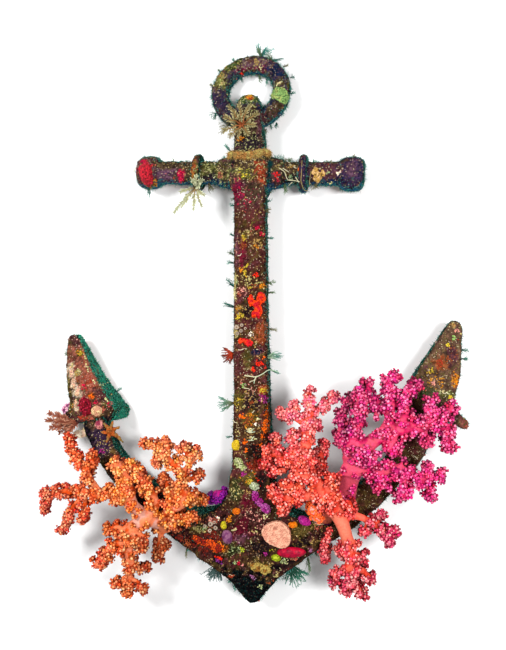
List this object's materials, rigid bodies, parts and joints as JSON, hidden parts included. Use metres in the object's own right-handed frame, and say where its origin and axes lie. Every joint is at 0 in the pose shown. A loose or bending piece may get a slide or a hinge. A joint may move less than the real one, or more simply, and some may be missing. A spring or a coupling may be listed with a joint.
{
  "type": "barnacled anchor",
  "caption": "Rusty iron anchor lying on its back, with a round stock, a ring and arrow-headed arms, overgrown by soft corals, sponges and barnacles.",
  "frame": {"origin": "on the floor, under the flat back of the crown", "axes": "+X to the right seen from the front, +Y up the shank from the crown to the ring, +Z out of the front of the anchor, away from the floor it lies on"},
  "size_m": [0.7537, 1.013, 0.1469],
  "materials": {
    "iron": "pitted, rusted and crusted, matt",
    "orange_coral": "soft knobbly polyps, matt",
    "red_coral": "soft knobbly polyps, matt",
    "magenta_coral": "soft knobbly polyps, matt",
    "red_sponge": "low encrusting sponge, matt",
    "crimson_sponge": "smooth encrusting sponge, satin",
    "magenta_sponge": "smooth encrusting sponge, satin",
    "orange_sponge": "fine-pored sponge, matt",
    "amber_sponge": "fine-pored sponge, matt",
    "yellow_sponge": "fine-pored sponge, matt",
    "lime_squirt": "smooth wet skin",
    "green_crust": "thin crust, matt",
    "cream_sponge": "fine-pored sponge, matt",
    "pink_squirt": "smooth wet skin",
    "purple_squirt": "rough wet skin",
    "tan_growth": "fibrous growth, matt",
    "straw_fronds": "feathery fronds, matt",
    "brown_fronds": "feathery fronds, matt",
    "teal_fronds": "feathery fronds, matt",
    "disc_coral": "finely pitted, matt",
    "shell": "ridged shell, matt"
  },
  "bodies": {
    "root": {"shank_and_arms": "iron", "left_fluke": "iron", "right_fluke": "iron", "stock": "iron", "left_collar": "iron", "right_collar": "iron", "ring": "iron", "orange_soft_coral": "orange_coral", "red_soft_coral": "red_coral", "magenta_soft_coral": "magenta_coral", "shank_red_sponge": "red_sponge", "shank_red_sponge_low": "red_sponge", "shank_yellow_sponge": "yellow_sponge", "shank_cream_mat": "cream_sponge", "crown_cream_ball": "cream_sponge", "crown_magenta_sponge": "magenta_sponge", "crown_orange_sponge": "orange_sponge", "crown_yellow_sponge": "yellow_sponge", "purple_oyster": "shell", "left_arm_red_crust": "red_sponge", "crimson_cushion": "crimson_sponge", "lime_sea_squirt": "lime_squirt", "crown_tan_sponge": "tan_growth", "right_magenta_sponge": "magenta_sponge", "right_orange_sponge": "orange_sponge", "stalked_orange_coral": "orange_coral", "magenta_sea_squirts": "magenta_sponge", "ring_green_crust": "green_crust", "left_knob_crust": "red_sponge", "boss_growth_band": "tan_growth", "right_collar_sponge": "tan_growth", "fluke_red_sponge": "crimson_sponge", "fluke_purple_squirt": "purple_squirt", "fluke_cream_sponge": "cream_sponge", "fluke_pink_squirt": "pink_squirt", "arm_oyster": "shell", "pink_disc_coral": "disc_coral", "head_feather_tuft": "straw_fronds", "left_collar_feather_tuft": "straw_fronds", "fluke_feather_plume": "brown_fronds", "arm_star_sponge": "amber_sponge", "shank_red_fan": "brown_fronds", "shank_right_twigs": "straw_fronds", "shank_left_twigs": "straw_fronds", "crown_left_tuft": "teal_fronds", "crown_right_tuft": "teal_fronds", "ring_top_tuft": "teal_fronds", "shank_barnacles": "shell", "crown_barnacles": "shell"}
  },
  "joints": []
}
